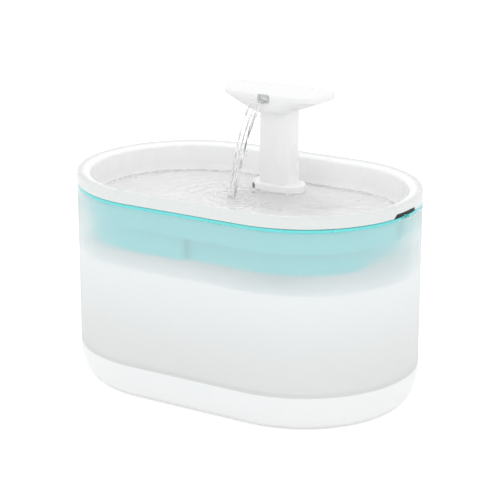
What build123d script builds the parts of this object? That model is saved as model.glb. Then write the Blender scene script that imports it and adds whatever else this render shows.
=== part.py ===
"""Pet water fountain: an oval frosted tank in a white base, a teal filter holder hung in its mouth,
a white drinking tray on top, a plug-in faucet, and a small submerged pump below the faucet.

Frame: origin at the middle of the ground under the feet, +X along the body's long axis towards the
end where the lead leaves, -Y towards the drinking side, +Z up. Millimetres.
"""
import os

from build123d import *

# ------------------------------------------------------------------ body
body_length = 236.0
body_width = 150.6

foot_proud = 1.0            # the feet hold the base this far off the ground
foot_recess = 1.2           # and sit this deep in it
foot_diameter = 15.0
foot_clearance = 0.3

base_height = 22.8
base_tuck = 9.0             # how far the base draws in towards the ground
base_wall = 2.2
base_floor = 2.4
base_rib = 1.6
base_rib_pitch = 30.0
base_nest_gap = 0.3         # tank wall to base wall

tank_wall = 2.4
tank_sunk = 11.2            # depth of tank inside the base
tank_height = 117.0
tank_corner = 6.0           # outer rounding of the tank's floor

screw_spacing_x = 140.0
screw_spacing_y = 76.0
screw_diameter = 3.0
screw_head_diameter = 5.6
screw_head_height = 2.0
screw_boss_diameter = 10.0
screw_clearance = 0.2       # radial, in the base
screw_bite = 0.05           # radial, in the tank's bosses
screw_boss_height = 5.6     # the tank's bosses below its floor

# ------------------------------------------------------------------ filter holder
holder_flange = 2.0
holder_flange_inset = 0.6
holder_wall = 1.6
skirt_inset = 5.2
skirt_drop = 17.4
pocket_drop = 15.4          # pockets below the shelf
filter_pocket_inset = 9.0
filter_pocket_start = -91.0
filter_pocket_end = -5.5
sump_inset = 13.5
sump_end = 97.0
divider_x = -10.6           # middle of the wall between the two pockets
pocket_corner = 3.0
drain_slot_length = 12.0
drain_slot_width = 2.4
drain_slot_pitch_x = 6.0
drain_slot_pitch_y = 15.0
holder_margin = 8.0         # plain floor round the slots
seat_rib_height = 1.2
seat_rib_width = 1.4
chimney_wall = 1.6
chimney_height = 13.0
lead_slot_width = 8.0
lead_hole_diameter = 9.0

# ------------------------------------------------------------------ filter cartridge
cartridge_clearance = 0.8
cartridge_height = 10.6
cartridge_wall = 1.4
cartridge_floor = 1.2
cartridge_lid = 1.2
cotton_thickness = 2.6
media_clearance = 0.3
grid_pitch = 9.0
grid_bar = 1.4

# ------------------------------------------------------------------ tray
tray_wall = 2.0
rim_gap = 0.4               # shadow gap between rim and holder
rim_height = 8.5
rim_band = 2.2
rim_roll = 1.7              # outer rounding of the crest
lip_fall = 2.5              # the lip drops this far towards the bowl
bowl_inset = 9.6
bowl_shelf_gap = 0.5
bowl_corner = 7.0
bowl_dish = 1.0             # the floor falls this much to the middle
bowl_draft = 0.5
seat_inset = 4.6
rim_edge_round = 0.5
water_depth = 3.7

notch_width = 28.0          # lead outlet in the rim
notch_height = 3.2
notch_slope = 3.5
notch_y = -4.5
grommet_clearance = 0.3
grommet_inset = 0.8
grommet_depth = 5.0
notch_depth = grommet_inset + grommet_depth + grommet_clearance
lead_diameter = 3.6

# ------------------------------------------------------------------ faucet
faucet_setback = 24.7       # faucet's middle to the bowl's rear wall
collar_length = 38.0
collar_depth = 20.0
collar_rise = 5.4           # above the water
collar_wall = 2.0
collar_roll = 1.2
mouth_width = 11.5          # overflow mouth
mouth_height = 3.2
drain_length = 6.2
strainer_wall = 1.2
strainer_slot = 1.2
strainer_pitch = 2.6

column_width = 23.6
column_depth = 17.6
column_corner = 4.4
column_wall = 1.8
column_height = 50.1
spigot_step = 2.2           # spigots are this much smaller than the column, all round
spigot_clearance = 0.25
head_spigot = 3.4

head_length = 83.6
head_width = 31.0
head_height = 13.5
head_keel_length = 33.0
head_keel_width = 22.4
head_fullness = 0.55
head_sections = 5
head_wall = 1.8
cap_thickness = 1.5
cap_roll = 0.6
cap_lip = 1.8
cap_lip_wall = 1.2
cap_clearance = 0.25
outlet_width = 10.0
outlet_height = 6.0
outlet_corner = 1.6
nozzle_wall = 1.1
nozzle_clearance = 0.2

# ------------------------------------------------------------------ water line from the pump
pipe_bore = 6.4
pipe_wall = 1.3
hose_wall = 1.6
hose_clearance = 0.05
hose_overlap = 8.0
hose_chimney_gap = 0.6
seal_thickness = 1.4
seal_diameter = 12.6

# ------------------------------------------------------------------ pump
pump_width = 36.0
pump_body_height = 32.0
pump_wall = 2.0
pump_corner = 4.0
pump_least_corner = 0.5
pump_foot_height = 5.0
pump_foot_diameter = 9.0
pump_foot_flare = 25.0      # degrees, of the sucker's skirt
pump_foot_spacing_x = 30.0
pump_foot_spacing_y = 24.0
pump_back_thickness = 2.0
chamber_radius = 12.5
chamber_depth = 15.0
nipple_height = 12.0
rotor_bore_radius = 6.4
rotor_tube_wall = 1.0
rotor_radius = 5.8
rotor_length = 20.0
shaft_radius = 1.0
shaft_clearance = 0.05
bush_radius = 2.6
bush_length = 2.4
wheel_radius = 10.8
wheel_hub_radius = 3.4
wheel_blade = 1.3
wheel_blades = 6
wheel_length = 9.0
wheel_gap = 1.6
coil_thickness = 6.0
coil_corner = 1.0
stator_leg = 5.0
stator_gap = 0.3
gland_radius = 4.0
gland_length = 4.0
gland_flare = 20.0          # degrees
cover_length = 16.0
cover_wall = 1.6
cover_gap = 0.2             # running gap between front cover and housing spigot
cover_plate = 1.6
inlet_radius = 5.0
grille_slot_width = 2.2
grille_pitch = 4.4
grille_margin = 3.6
foam_clearance = 0.3

# ------------------------------------------------------------------ levels and radii that follow
end_radius = body_width / 2
half_straight = body_length / 2 - end_radius

base_bottom = foot_proud
base_top = base_bottom + base_height
base_floor_top = base_bottom + base_floor
foot_top = base_bottom + foot_recess
tank_under = base_top - tank_sunk
tank_floor = tank_under + tank_wall
tank_top = tank_under + tank_height
tank_bore = end_radius - tank_wall
tank_nest = end_radius - base_wall - base_nest_gap
screw_boss_end = tank_under - screw_boss_height

holder_top = tank_top + holder_flange
shelf_under = holder_top - skirt_drop
shelf_top = shelf_under + holder_wall
pocket_under = shelf_under - pocket_drop
pocket_floor = pocket_under + holder_wall
skirt_radius = end_radius - skirt_inset

rim_under = holder_top + rim_gap
rim_crest = rim_under + rim_height
bowl_under = shelf_top + bowl_shelf_gap
bowl_floor = bowl_under + tray_wall - bowl_dish
bowl_radius = end_radius - bowl_inset
faucet_y = bowl_radius - faucet_setback
water_level = bowl_floor + water_depth
collar_top = water_level + collar_rise

column_top = collar_top + column_height
head_top = column_top + head_height
cap_under = head_top - cap_thickness
spigot_width = column_width - 2 * spigot_step
spigot_depth = column_depth - 2 * spigot_step
spigot_corner = column_corner - spigot_step

pipe_radius = pipe_bore / 2 + pipe_wall
hose_bore_radius = pipe_radius + hose_clearance
hose_radius = hose_bore_radius + hose_wall
chimney_bore = hose_radius + hose_chimney_gap
chimney_radius = chimney_bore + chimney_wall

pump_under = tank_floor + pump_foot_height
pump_top = pump_under + pump_body_height
shaft_z = pump_under + pump_body_height / 2
pump_front = -chamber_depth / 2
hose_bottom = pump_top + nipple_height - hose_overlap
hose_top = pocket_floor + chimney_height
pipe_bottom = hose_top - hose_overlap

GROUND = Plane.XY
AXLE = Plane(origin=(0, faucet_y, shaft_z), x_dir=(0, 1, 0), z_dir=(1, 0, 0))   # looks along +X

OVAL_ENDS = (
    Plane(origin=(half_straight, 0, 0), x_dir=(0, -1, 0), z_dir=(-1, 0, 0)),
    Plane(origin=(-half_straight, 0, 0), x_dir=(0, 1, 0), z_dir=(1, 0, 0)),
)


# ------------------------------------------------------------------ shared shapes
def oval(draw_section):
    """Carry a half section, drawn from the oval's spine outwards, along the sides and round the ends."""
    for end in OVAL_ENDS:
        with BuildSketch(end) as section:
            draw_section()
        revolve(section.sketch, axis=Axis(end.origin, (0, 0, 1)), revolution_arc=180)
        extrude(section.sketch, amount=2 * half_straight)


def outline(points, radii):
    """Close a section through its corner points, each rounded by its own radius."""
    with BuildLine() as edge:
        FilletPolyline(points, radius=radii, close=True)
    make_face(edge.edges())


def faucet_plane(height):
    return Plane.XY.offset(height).shift_origin((0, faucet_y, height))


def prism(draw_plan, bottom, top, plane=faucet_plane, mode=Mode.ADD):
    """Raise a plan between two heights."""
    with BuildSketch(plane(bottom)) as plan:
        draw_plan()
    extrude(plan.sketch, amount=top - bottom, mode=mode)


def level(height):
    return Plane.XY.offset(height)


def axle_plane(along):
    return AXLE.offset(along)


def screw_places():
    return GridLocations(screw_spacing_x, screw_spacing_y, 2, 2)


def save(piece, name):
    piece.part.label = name
    export_step(piece.part, f"parts/{name}.step")


os.makedirs("parts", exist_ok=True)


# ------------------------------------------------------------------ tank
def tank_section():
    nest_bore = tank_nest - tank_wall
    outline(
        [
            (0, tank_under), (tank_nest, tank_under), (tank_nest, base_top), (end_radius, base_top),
            (end_radius, tank_top), (tank_bore, tank_top), (tank_bore, base_top + tank_wall),
            (nest_bore, base_top), (nest_bore, tank_floor), (0, tank_floor),
        ],
        [0, tank_corner, 0, 0, tank_wall / 3, tank_wall / 3, 0, 0, tank_corner - tank_wall, 0],
    )


with BuildPart() as tank:
    oval(tank_section)
    with BuildSketch(level(screw_boss_end)):
        with screw_places():
            Circle(screw_boss_diameter / 2)
    extrude(amount=screw_boss_height)
    with BuildSketch(level(screw_boss_end)):
        with screw_places():
            Circle(screw_diameter / 2 + screw_bite)
    extrude(amount=screw_boss_height + tank_wall / 2, mode=Mode.SUBTRACT)
save(tank, "tank")


# ------------------------------------------------------------------ base
def base_section():
    foot_of_curve = end_radius - base_tuck
    with BuildLine() as edge:
        EllipticalCenterArc((foot_of_curve, base_top), base_tuck, base_height,
                            start_angle=-90, arc_size=90)
        EllipticalCenterArc((foot_of_curve, base_top), base_tuck - base_wall,
                            base_height - base_floor,
                            start_angle=-90, arc_size=90)
        Line((end_radius - base_wall, base_top), (end_radius, base_top))
        Polyline((foot_of_curve, base_bottom), (0, base_bottom), (0, base_floor_top),
                 (foot_of_curve, base_floor_top))
    make_face(edge.edges())


def rib_plan():
    """Ribs both ways across the floor, kept inside the tucked-in wall."""
    rib_count_x = int(body_length / base_rib_pitch / 2) * 2 - 1
    rib_count_y = int(body_width / base_rib_pitch / 2) * 2 - 1
    with GridLocations(base_rib_pitch, 1, rib_count_x, 1):
        Rectangle(base_rib, body_width)
    with GridLocations(1, base_rib_pitch, 1, rib_count_y):
        Rectangle(body_length, base_rib)
    SlotOverall(body_length - 2 * base_tuck, body_width - 2 * base_tuck, mode=Mode.INTERSECT)


with BuildPart() as base_shell:
    oval(base_section)
    with BuildSketch(level(base_floor_top)):
        rib_plan()
    extrude(amount=tank_under - base_floor_top)
    with BuildSketch(level(base_bottom)):
        with screw_places():
            Circle(screw_boss_diameter / 2)
    extrude(amount=screw_boss_end - base_bottom)
    with BuildSketch(level(screw_boss_end)):          # room for the tank's bosses among the ribs
        with screw_places():
            Circle(screw_boss_diameter / 2 + base_nest_gap)
    extrude(amount=screw_boss_height, mode=Mode.SUBTRACT)
    with BuildSketch(level(base_bottom)):
        with screw_places():
            Circle(screw_diameter / 2 + screw_clearance)
    extrude(amount=screw_boss_end - base_bottom, mode=Mode.SUBTRACT)
    with BuildSketch(level(foot_top)):
        with screw_places():
            Circle(screw_head_diameter / 2 + screw_clearance)
    extrude(amount=screw_head_height, mode=Mode.SUBTRACT)
    with BuildSketch(level(base_bottom)):
        with screw_places():
            Circle(foot_diameter / 2 + foot_clearance)
    extrude(amount=foot_recess, mode=Mode.SUBTRACT)
save(base_shell, "base_shell")

with BuildPart() as base_feet:
    with BuildSketch(GROUND):
        with screw_places():
            Circle(foot_diameter / 2)
    extrude(amount=foot_top)
    fillet(base_feet.faces().group_by(Axis.Z)[0].edges(), foot_proud / 2)
save(base_feet, "base_feet")

with BuildPart() as base_screws:
    with BuildSketch(level(foot_top)):
        with screw_places():
            Circle(screw_head_diameter / 2)
    extrude(amount=screw_head_height)
    with BuildSketch(level(foot_top + screw_head_height)):
        with screw_places():
            Circle(screw_diameter / 2)
    extrude(amount=tank_under - foot_top - screw_head_height)
save(base_screws, "base_screws")


# ------------------------------------------------------------------ filter holder
def holder_section():
    flange_edge = end_radius - holder_flange_inset
    outline(
        [
            (0, shelf_under), (skirt_radius, shelf_under), (skirt_radius, tank_top), (flange_edge, tank_top),
            (flange_edge, holder_top), (skirt_radius - holder_wall, holder_top),
            (skirt_radius - holder_wall, shelf_top), (0, shelf_top),
        ],
        [0, holder_wall, 0, holder_flange / 4, holder_flange / 4, holder_flange / 4, 0, 0],
    )


def pocket_plan(inset, start, end, shrink=0.0):
    """Part of the oval between two cross walls, drawn in by a wall or a clearance."""
    SlotOverall(body_length - 2 * (inset + shrink), body_width - 2 * (inset + shrink))
    with Locations(((start + end) / 2, 0)):
        Rectangle(end - start - 2 * shrink, body_width, mode=Mode.INTERSECT)
    ends = vertices().group_by(Axis.X)
    fillet(ends[0] + ends[-1], max(pocket_corner - shrink, holder_wall / 2))


def filter_pocket_outer():
    pocket_plan(filter_pocket_inset, filter_pocket_start, filter_pocket_end)


def sump_outer():
    pocket_plan(sump_inset, filter_pocket_end - pocket_corner, sump_end)


def filter_pocket_inner(shrink=0.0):
    pocket_plan(filter_pocket_inset + holder_wall, filter_pocket_start + holder_wall,
                divider_x - holder_wall / 2, shrink)


def sump_inner():
    pocket_plan(sump_inset + holder_wall, divider_x + holder_wall / 2, sump_end - holder_wall)


def divider_relief():
    """The wall between the pockets stops short of the shelf, clear of the tray."""
    SlotOverall(body_length - 2 * (sump_inset + holder_wall), body_width - 2 * (sump_inset + holder_wall))
    with Locations((divider_x, 0)):
        Rectangle(2 * holder_wall, body_width, mode=Mode.INTERSECT)


def drain_slots():
    """Slots through the filter pocket's floor, in rows that stop short of its walls."""
    filter_length = filter_pocket_end - filter_pocket_start
    columns = int((filter_length - 2 * holder_margin) / drain_slot_pitch_x)
    rows = int((body_width - 2 * filter_pocket_inset - 2 * holder_margin) / drain_slot_pitch_y)
    middle = (filter_pocket_start + divider_x) / 2
    with Locations((middle, 0)):
        with GridLocations(drain_slot_pitch_x, drain_slot_pitch_y, columns, rows):
            Rectangle(drain_slot_width, drain_slot_length)
    SlotOverall(body_length - 2 * (filter_pocket_inset + holder_margin),
                body_width - 2 * (filter_pocket_inset + holder_margin), mode=Mode.INTERSECT)


def seat_ribs():
    middle = (filter_pocket_start + divider_x) / 2
    with Locations((middle, 0)):
        with GridLocations(4 * drain_slot_pitch_x, 1, 3, 1):
            Rectangle(seat_rib_width, body_width)
    SlotOverall(body_length - 2 * (filter_pocket_inset + holder_wall),
                body_width - 2 * (filter_pocket_inset + holder_wall), mode=Mode.INTERSECT)


lead_place = (sump_end - holder_wall - lead_hole_diameter, notch_y)

with BuildPart() as filter_holder:
    oval(holder_section)
    prism(filter_pocket_outer, pocket_under, shelf_top, level)
    prism(sump_outer, pocket_under, shelf_top, level)
    prism(filter_pocket_inner, pocket_floor, shelf_top, level, Mode.SUBTRACT)
    prism(sump_inner, pocket_floor, shelf_top, level, Mode.SUBTRACT)
    prism(divider_relief, hose_top, shelf_top, level, Mode.SUBTRACT)
    prism(lambda: Circle(chimney_radius), pocket_under, hose_top)
    prism(lambda: Circle(chimney_bore), pocket_under, hose_top, mode=Mode.SUBTRACT)
    prism(seat_ribs, pocket_floor, pocket_floor + seat_rib_height, level)
    prism(drain_slots, pocket_under, pocket_floor + seat_rib_height, level, Mode.SUBTRACT)
    with BuildSketch(level(pocket_under)):            # the lead rises through the sump's floor
        with Locations(lead_place):
            Circle(lead_hole_diameter / 2)
    extrude(amount=holder_wall, mode=Mode.SUBTRACT)
    with BuildSketch(level(shelf_under)):             # and leaves over the flange, under the rim's notch
        with Locations((body_length / 2, notch_y)):
            Rectangle(2 * (skirt_inset + holder_wall), lead_slot_width)
    extrude(amount=skirt_drop, mode=Mode.SUBTRACT)
save(filter_holder, "filter_holder")


# ------------------------------------------------------------------ filter cartridge
frame_bottom = pocket_floor + seat_rib_height
frame_top = frame_bottom + cartridge_height
media_bottom = frame_bottom + cartridge_floor
cotton_bottom = frame_top - cotton_thickness
frame_inner = cartridge_clearance + cartridge_wall


def frame_outer():
    filter_pocket_inner(cartridge_clearance)


with BuildSketch() as window_limit:
    filter_pocket_inner(frame_inner + grid_bar)


def frame_window():
    """Grid openings of the cartridge, cut off inside its wall."""
    columns = int((divider_x - filter_pocket_start) / grid_pitch)
    rows = int((body_width - 2 * filter_pocket_inset) / grid_pitch)
    middle = (filter_pocket_start + divider_x) / 2
    with Locations((middle, 0)):
        with GridLocations(grid_pitch, grid_pitch, columns, rows):
            Rectangle(grid_pitch - grid_bar, grid_pitch - grid_bar)
    add(window_limit.sketch, mode=Mode.INTERSECT)


def media_plan():
    filter_pocket_inner(frame_inner + media_clearance)


with BuildPart() as filter_frame:
    prism(frame_outer, frame_bottom, frame_top, level)
    prism(lambda: filter_pocket_inner(frame_inner), media_bottom, frame_top, level, Mode.SUBTRACT)
    prism(frame_window, frame_bottom, media_bottom, level, Mode.SUBTRACT)
save(filter_frame, "filter_frame")

with BuildPart() as filter_carbon:
    prism(media_plan, media_bottom, cotton_bottom, level)
save(filter_carbon, "filter_carbon")

with BuildPart() as filter_cotton:
    prism(media_plan, cotton_bottom, frame_top, level)
save(filter_cotton, "filter_cotton")

with BuildPart() as filter_lid:
    prism(frame_outer, frame_top, frame_top + cartridge_lid, level)
    prism(frame_window, frame_top, frame_top + cartridge_lid, level, Mode.SUBTRACT)
save(filter_lid, "filter_lid")


# ------------------------------------------------------------------ tray
def tray_section():
    """Rim band, rolled crest, falling lip, steep wall and dished floor, all one thickness."""
    lip_inner = bowl_radius + tray_wall / 2
    seat_edge = end_radius - seat_inset
    wall_outer = bowl_radius + tray_wall
    under_lip = rim_crest - tray_wall
    outline(
        [
            (end_radius, rim_under), (end_radius, rim_crest), (lip_inner, rim_crest - lip_fall),
            (bowl_radius - bowl_draft, bowl_under + tray_wall), (0, bowl_floor),
            (0, bowl_floor - tray_wall), (wall_outer, bowl_under), (wall_outer, holder_top),
            (seat_edge, holder_top), (seat_edge, under_lip - lip_fall / 2),
            (end_radius - rim_band, under_lip), (end_radius - rim_band, rim_under),
        ],
        [rim_edge_round, rim_roll, tray_wall, bowl_corner, 0, 0, bowl_corner + tray_wall, 0, 0, 0,
         rim_edge_round, rim_edge_round],
    )


def notch_outline():
    """Lead outlet seen from the end: wide at the rim's lower edge, with slanted ends."""
    half = notch_width / 2
    Polygon((-half, 0), (half, 0), (half - notch_slope, notch_height), (notch_slope - half, notch_height),
            align=None)


def notch_plane(height):
    """Back of the notch, a clearance behind the grommet, looking out along +X."""
    return Plane(origin=(body_length / 2 - notch_depth, notch_y, height), x_dir=(0, 1, 0), z_dir=(1, 0, 0))


def collar_plan(inset=0.0):
    SlotOverall(collar_length - 2 * inset, collar_depth - 2 * inset)


def socket_plan():
    RectangleRounded(spigot_width + 2 * spigot_clearance, spigot_depth + 2 * spigot_clearance,
                     spigot_corner + spigot_clearance)


def drain_plan():
    """Overflow shaft at the collar's -X end."""
    collar_plan(collar_wall)
    with Locations(((collar_wall - collar_length) / 2, 0)):
        Rectangle(2 * drain_length + collar_wall, collar_depth, mode=Mode.INTERSECT)


def mouth_outline():
    """Overflow mouth seen from the collar's end, its sill at the water level."""
    with Locations((0, mouth_height / 2)):
        RectangleRounded(mouth_width, mouth_height, mouth_height / 3)


MOUTH = Plane(origin=(-collar_length / 2, faucet_y, water_level), x_dir=(0, -1, 0), z_dir=(-1, 0, 0))

collar_foot = bowl_floor - tray_wall / 2
chamber_top = collar_top - collar_wall
pipe_top = water_level + mouth_height

with BuildPart() as tray:
    oval(tray_section)
    with BuildSketch(notch_plane(holder_top)):
        notch_outline()
    extrude(amount=notch_depth, mode=Mode.SUBTRACT)
    prism(collar_plan, collar_foot, collar_top)
    fillet(tray.faces().filter_by_position(Axis.Z, collar_top - 0.01, collar_top + 0.01).edges(),
           collar_roll)
    prism(lambda: collar_plan(collar_wall), bowl_floor + seal_thickness, chamber_top, mode=Mode.SUBTRACT)
    prism(socket_plan, bowl_floor, collar_top, mode=Mode.SUBTRACT)
    prism(drain_plan, bowl_floor - 2 * tray_wall, chamber_top, mode=Mode.SUBTRACT)
    with BuildSketch(MOUTH):
        mouth_outline()
    extrude(amount=-drain_length, mode=Mode.SUBTRACT)
    prism(lambda: Circle(pipe_radius), pipe_bottom, pipe_top)
    prism(lambda: Circle(pipe_bore / 2), pipe_bottom, pipe_top, mode=Mode.SUBTRACT)
save(tray, "tray")


# ------------------------------------------------------------------ small parts of the tray
with BuildPart() as cable_grommet:
    with BuildSketch(notch_plane(holder_top)):
        notch_outline()
        offset(amount=-grommet_clearance)
    extrude(amount=notch_depth)
    with BuildSketch(level(holder_top)):              # keep the part that follows the rim
        SlotOverall(body_length - 2 * grommet_inset, body_width - 2 * grommet_inset)
        SlotOverall(body_length - 2 * (grommet_inset + grommet_depth),
                    body_width - 2 * (grommet_inset + grommet_depth), mode=Mode.SUBTRACT)
    extrude(amount=notch_height, mode=Mode.INTERSECT)
    with BuildSketch(notch_plane(holder_top)):        # half-round mouth for the lead
        Circle(lead_diameter / 2)
    extrude(amount=notch_depth, mode=Mode.SUBTRACT)
save(cable_grommet, "cable_grommet")


with BuildPart() as drain_strainer:
    strainer_bottom = bowl_floor - tray_wall
    prism(lambda: collar_plan(collar_wall + nozzle_clearance), strainer_bottom,
          chamber_top - nozzle_clearance)
    prism(lambda: collar_plan(collar_wall + nozzle_clearance + strainer_wall), strainer_bottom,
          chamber_top, mode=Mode.SUBTRACT)
    with BuildSketch(faucet_plane(strainer_bottom)):  # only the end round the overflow shaft stays
        with Locations(((collar_wall - collar_length) / 2, 0)):
            Rectangle(2 * (drain_length - nozzle_clearance) + collar_wall, collar_depth)
    extrude(amount=chamber_top - strainer_bottom, mode=Mode.INTERSECT)
    slot_count = int(mouth_width / strainer_pitch)
    with BuildSketch(MOUTH):
        with Locations((0, mouth_height / 2)):
            with GridLocations(strainer_pitch, 1, slot_count, 1):
                Rectangle(strainer_slot, mouth_height)
    extrude(amount=-(collar_wall + 2 * strainer_wall), mode=Mode.SUBTRACT)
save(drain_strainer, "drain_strainer")

with BuildPart() as riser_seal:
    prism(lambda: Circle(seal_diameter / 2), bowl_floor, bowl_floor + seal_thickness)
    prism(lambda: Circle(pipe_radius + hose_clearance), bowl_floor, bowl_floor + seal_thickness,
          mode=Mode.SUBTRACT)
save(riser_seal, "riser_seal")


# ------------------------------------------------------------------ faucet
def column_plan(inset=0.0):
    RectangleRounded(column_width - 2 * inset, column_depth - 2 * inset, column_corner - inset)


spigot_bottom = bowl_floor + 2 * seal_thickness
tube_bottom = bowl_floor + seal_thickness
tube_radius = pipe_radius + hose_clearance + pipe_wall
tube_top = column_top + head_spigot

with BuildPart() as faucet_column:
    prism(column_plan, collar_top, column_top)
    prism(lambda: column_plan(spigot_step), spigot_bottom, tube_top)
    prism(lambda: column_plan(spigot_step + column_wall), spigot_bottom, tube_top, mode=Mode.SUBTRACT)
    prism(lambda: column_plan(spigot_step + column_wall), collar_top, collar_top + column_wall)
    prism(lambda: Circle(tube_radius), tube_bottom, tube_top)
    prism(lambda: Circle(pipe_radius + hose_clearance), tube_bottom, tube_top, mode=Mode.SUBTRACT)
save(faucet_column, "faucet_column")


def head_share(share):
    """Length and width of the boat-shaped head at a share of its height."""
    grown = share ** head_fullness
    return (head_keel_length + (head_length - head_keel_length) * grown,
            head_keel_width + (head_width - head_keel_width) * grown)


def hull(inset, bottom, top, mode=Mode.ADD):
    sections = []
    for step in range(head_sections):
        share = (step / (head_sections - 1)) ** 2
        length, width = head_share(share)
        with BuildSketch(faucet_plane(bottom + (top - bottom) * share)) as section:
            Ellipse(length / 2 - inset, width / 2 - inset)
        sections.append(section.sketch)
    loft(sections, mode=mode)


def outlet_outline(grow=0.0):
    with Locations((0, -outlet_height / 2)):
        RectangleRounded(outlet_width + 2 * grow, outlet_height + 2 * grow, outlet_corner + grow)


OUTLET = Plane(origin=(0, faucet_y, cap_under), x_dir=(1, 0, 0), z_dir=(0, -1, 0))

with BuildPart() as faucet_head:
    hull(0, column_top, cap_under)
    hull(head_wall, column_top + head_wall, cap_under, Mode.SUBTRACT)
    prism(socket_plan, column_top, tube_top, mode=Mode.SUBTRACT)
    with BuildSketch(OUTLET):
        outlet_outline()
    extrude(amount=head_width, mode=Mode.SUBTRACT)
save(faucet_head, "faucet_head")


def cap_lip_plan(inset=0.0):
    """Lip under the cap, a clearance inside the head's wall."""
    hollow = cap_under - column_top - head_wall
    length, width = head_share((hollow - cap_lip) / hollow)
    gap = head_wall + cap_clearance + inset
    Ellipse(length / 2 - gap, width / 2 - gap)


with BuildPart() as faucet_cap:
    prism(lambda: Ellipse(head_length / 2, head_width / 2), cap_under, head_top)
    fillet(faucet_cap.faces().sort_by(Axis.Z)[-1].edges(), cap_roll)
    prism(cap_lip_plan, cap_under - cap_lip, cap_under)
    prism(lambda: cap_lip_plan(cap_lip_wall), cap_under - cap_lip, cap_under, mode=Mode.SUBTRACT)
    with BuildSketch(OUTLET):                         # the lip stops each side of the spout
        with Locations((0, -cap_lip / 2)):
            Rectangle(outlet_width + 2 * cap_clearance, cap_lip)
    extrude(amount=head_width, both=True, mode=Mode.SUBTRACT)
save(faucet_cap, "faucet_cap")

with BuildPart() as spout_nozzle:
    prism(lambda: Circle(pipe_radius), column_top, cap_under - outlet_height + nozzle_wall)
    with BuildSketch(OUTLET.offset(-pipe_radius)):
        outlet_outline(-nozzle_clearance)
    extrude(amount=head_width)
    with BuildSketch(OUTLET.offset(-pipe_radius + nozzle_wall)):
        outlet_outline(-nozzle_clearance - nozzle_wall)
    extrude(amount=head_width, mode=Mode.SUBTRACT)
    prism(lambda: Circle(pipe_bore / 2), column_top, cap_under - outlet_height / 2, mode=Mode.SUBTRACT)
    hull(nozzle_clearance, column_top - head_spigot, cap_under, Mode.INTERSECT)
save(spout_nozzle, "spout_nozzle")


# ------------------------------------------------------------------ pump
with BuildPart() as riser_tube:
    prism(lambda: Circle(hose_radius), hose_bottom, hose_top)
    prism(lambda: Circle(hose_bore_radius), hose_bottom, hose_top, mode=Mode.SUBTRACT)
save(riser_tube, "riser_tube")


def pump_outline(inset=0.0):
    corner = max(pump_corner - inset, pump_least_corner)
    RectangleRounded(pump_width - 2 * inset, pump_body_height - 2 * inset, corner)


def bar(draw_section, start, end, mode=Mode.ADD):
    """Run a section along the pump's axle between two stations."""
    prism(draw_section, start, end, axle_plane, mode)


spigot_front = pump_front - cover_length / 4
chamber_back = pump_front + chamber_depth
cavity_front = chamber_back + pump_wall
rotor_front = chamber_back + wheel_gap / 2
rotor_back = rotor_front + rotor_length
well_back = rotor_back + wheel_gap + bush_length
leg_inner = rotor_bore_radius + rotor_tube_wall + stator_gap
coil_reach = coil_thickness / 3
yoke_start = well_back + rotor_tube_wall + coil_reach + stator_gap
leg_end = yoke_start + stator_leg
plate_back = leg_end + coil_reach + stator_gap
pump_back = plate_back + pump_back_thickness
pump_middle = (pump_front + plate_back) / 2



def pump_foot_places():
    """The four feet, two by two under the middle of the pump's body."""
    spots = GridLocations(pump_foot_spacing_x, pump_foot_spacing_y, 2, 2)
    return Locations([Pos(pump_middle, faucet_y) * spot for spot in spots.local_locations])


with BuildPart() as pump_housing:
    bar(pump_outline, pump_front, plate_back)
    bar(lambda: pump_outline(cover_wall + cover_gap), spigot_front, pump_front)
    bar(lambda: pump_outline(pump_wall), cavity_front, plate_back, Mode.SUBTRACT)
    bar(lambda: Circle(rotor_bore_radius + rotor_tube_wall), chamber_back, well_back + rotor_tube_wall)
    bar(lambda: Circle(chamber_radius), spigot_front, chamber_back, Mode.SUBTRACT)
    bar(lambda: Circle(rotor_bore_radius), chamber_back, rotor_back + wheel_gap, Mode.SUBTRACT)
    bar(lambda: Circle(bush_radius), rotor_back + wheel_gap, well_back, Mode.SUBTRACT)
    prism(lambda: Circle(pipe_radius), pump_top - pump_wall, pump_top + nipple_height)
    prism(lambda: Circle(pipe_bore / 2), shaft_z, pump_top + nipple_height, mode=Mode.SUBTRACT)
    with BuildSketch(level(pump_under - pump_wall / 2)):   # studs that the feet push on to
        with pump_foot_places():
            Circle(pump_foot_diameter / 6)
    extrude(amount=pump_wall / 2)
save(pump_housing, "pump_housing")

with BuildPart() as pump_feet:
    with BuildSketch(level(tank_floor)):
        with pump_foot_places():
            Circle(pump_foot_diameter / 2)
    extrude(amount=pump_foot_height - pump_wall, taper=pump_foot_flare)
    with BuildSketch(level(tank_floor)):
        with pump_foot_places():
            Circle(pump_foot_diameter / 3)
    extrude(amount=pump_foot_height)
    with BuildSketch(level(pump_under - pump_wall / 2)):
        with pump_foot_places():
            Circle(pump_foot_diameter / 6)
    extrude(amount=pump_wall / 2, mode=Mode.SUBTRACT)
save(pump_feet, "pump_feet")

gland_place = (0, pump_body_height / 4)
with BuildPart() as pump_back_cover:
    bar(pump_outline, plate_back, pump_back)
    with BuildSketch(axle_plane(plate_back)):
        with Locations(gland_place):
            Circle(gland_radius)
    extrude(amount=pump_back_thickness, mode=Mode.SUBTRACT)
    fillet(pump_back_cover.faces().sort_by(Axis.X)[-1].outer_wire().edges(), pump_back_thickness / 2)
save(pump_back_cover, "pump_back_cover")

with BuildPart() as cable_gland:
    with BuildSketch(axle_plane(plate_back)):
        with Locations(gland_place):
            Circle(gland_radius)
            Circle(lead_diameter / 2, mode=Mode.SUBTRACT)
    extrude(amount=pump_back_thickness)
    with BuildSketch(axle_plane(pump_back)):
        with Locations(gland_place):
            Circle(gland_radius + pump_back_thickness / 2)
            Circle(lead_diameter / 2, mode=Mode.SUBTRACT)
    extrude(amount=gland_length - pump_back_thickness, taper=gland_flare)
save(cable_gland, "cable_gland")

leg_start = cavity_front + stator_gap


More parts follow.
